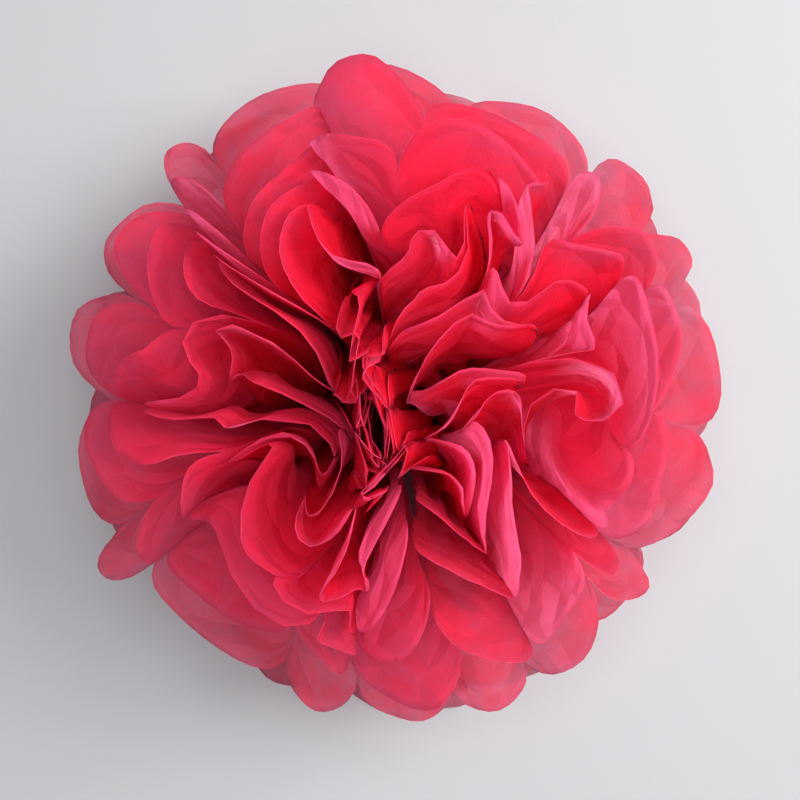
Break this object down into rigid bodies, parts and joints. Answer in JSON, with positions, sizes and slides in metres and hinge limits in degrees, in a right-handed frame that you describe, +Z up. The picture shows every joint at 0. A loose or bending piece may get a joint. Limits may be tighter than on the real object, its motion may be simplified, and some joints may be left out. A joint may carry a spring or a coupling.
{
  "type": "tissue paper flower",
  "caption": "Pompom-style flower of pleated tissue paper sheets with scalloped ends, tied round the waist with wire and fluffed into petals.",
  "frame": {"origin": "on the surface that the flower lies on, under the middle of its outline", "axes": "+Z up, out of the face of the flower; +X and +Y along the surface, the fans of petals opening towards +X and -X"},
  "size_m": [0.169, 0.1676, 0.0914],
  "materials": {
    "tissue_paper": "matte thin tissue, crimson where layers overlap and pink where single",
    "wire": "thin bare florist's wire"
  },
  "bodies": {
    "root": {"sheet_1": "tissue_paper", "sheet_2": "tissue_paper", "sheet_3": "tissue_paper", "sheet_4": "tissue_paper", "sheet_5": "tissue_paper", "sheet_6": "tissue_paper", "sheet_7": "tissue_paper", "tie_wire": "wire"}
  },
  "joints": []
}
